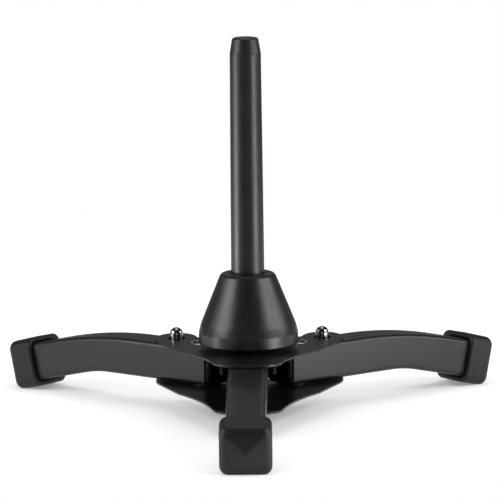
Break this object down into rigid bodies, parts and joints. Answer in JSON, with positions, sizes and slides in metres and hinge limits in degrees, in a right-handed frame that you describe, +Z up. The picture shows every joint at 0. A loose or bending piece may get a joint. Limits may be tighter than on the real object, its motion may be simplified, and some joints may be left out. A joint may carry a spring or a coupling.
{
  "type": "woodwind instrument stand",
  "caption": "Folding tripod stand with a tapered peg on a bell cone, for a clarinet or a like woodwind; two legs fold beside the third and lock with domed buttons.",
  "frame": {"origin": "middle of the footprint on the floor: the bottom centre of the stand's bounding box", "axes": "+Z up along the peg, the fixed leg towards -Y, the folding legs towards -X and +X; the peg's axis stands at x 0, y 0.0265"},
  "size_m": [0.2622, 0.262, 0.2002],
  "materials": {
    "leg_paint": "satin black powder coat on square steel tube",
    "plate_paint": "satin black paint on stamped steel plate",
    "foot_rubber": "matte moulded rubber",
    "cone_plastic": "satin moulded plastic",
    "peg_plastic": "fine-grained satin plastic",
    "button_chrome": "polished chrome plate",
    "bright_steel": "bright turned steel",
    "spring_steel": "dark spring wire",
    "black_steel": "blackened steel",
    "zinc_steel": "zinc plate",
    "insert_brass": "plain turned brass"
  },
  "bodies": {
    "base": {"front_leg": "leg_paint", "upper_plate": "plate_paint", "lower_plate": "plate_paint", "front_foot": "foot_rubber", "bell_cone": "cone_plastic", "peg_tube": "peg_plastic", "peg_cap": "peg_plastic", "left_pivot_pin": "bright_steel", "right_pivot_pin": "bright_steel", "centre_bolt": "black_steel", "front_leg_screw_1": "black_steel", "front_leg_screw_2": "black_steel", "front_leg_nut_1": "black_steel", "front_leg_nut_2": "black_steel", "left_fold_stop": "black_steel", "right_fold_stop": "black_steel", "bolt_washer": "zinc_steel", "centre_sleeve": "zinc_steel", "front_leg_shim_1": "zinc_steel", "front_leg_shim_2": "zinc_steel", "left_leg_washer": "zinc_steel", "right_leg_washer": "zinc_steel", "peg_insert": "insert_brass"},
    "left_leg": {"left_leg": "leg_paint", "left_foot": "foot_rubber", "left_pivot_bush": "bright_steel", "left_pivot_spring": "spring_steel", "left_lock_seat": "zinc_steel", "left_lock_spring": "spring_steel"},
    "left_lock_button": {"left_lock_button": "button_chrome"},
    "right_leg": {"right_leg": "leg_paint", "right_foot": "foot_rubber", "right_pivot_bush": "bright_steel", "right_pivot_spring": "spring_steel", "right_lock_seat": "zinc_steel", "right_lock_spring": "spring_steel"},
    "right_lock_button": {"right_lock_button": "button_chrome"}
  },
  "joints": [
    {"name": "left_leg_fold", "type": "hinge", "parent": "base", "child": "left_leg", "pos_m": [-0.02261, 0.04385, 0.02474], "axis": [0, 0, 1], "range_deg": [0, 125.1], "stiffness_Nm_per_rad": 0.02, "deforming": ["left_lock_button"]},
    {"name": "left_button_press", "type": "slide", "parent": "left_leg", "child": "left_lock_button", "axis": [0, 0, -1], "range_m": [0, 0.0075], "stiffness_N_per_m": 400, "deforming": ["left_lock_spring"]},
    {"name": "right_leg_fold", "type": "hinge", "parent": "base", "child": "right_leg", "pos_m": [0.02261, 0.04385, 0.02474], "axis": [0, 0, -1], "range_deg": [0, 125.1], "stiffness_Nm_per_rad": 0.02, "deforming": ["right_lock_button"]},
    {"name": "right_button_press", "type": "slide", "parent": "right_leg", "child": "right_lock_button", "axis": [0, 0, -1], "range_m": [0, 0.0075], "stiffness_N_per_m": 400, "deforming": ["right_lock_spring"]}
  ]
}
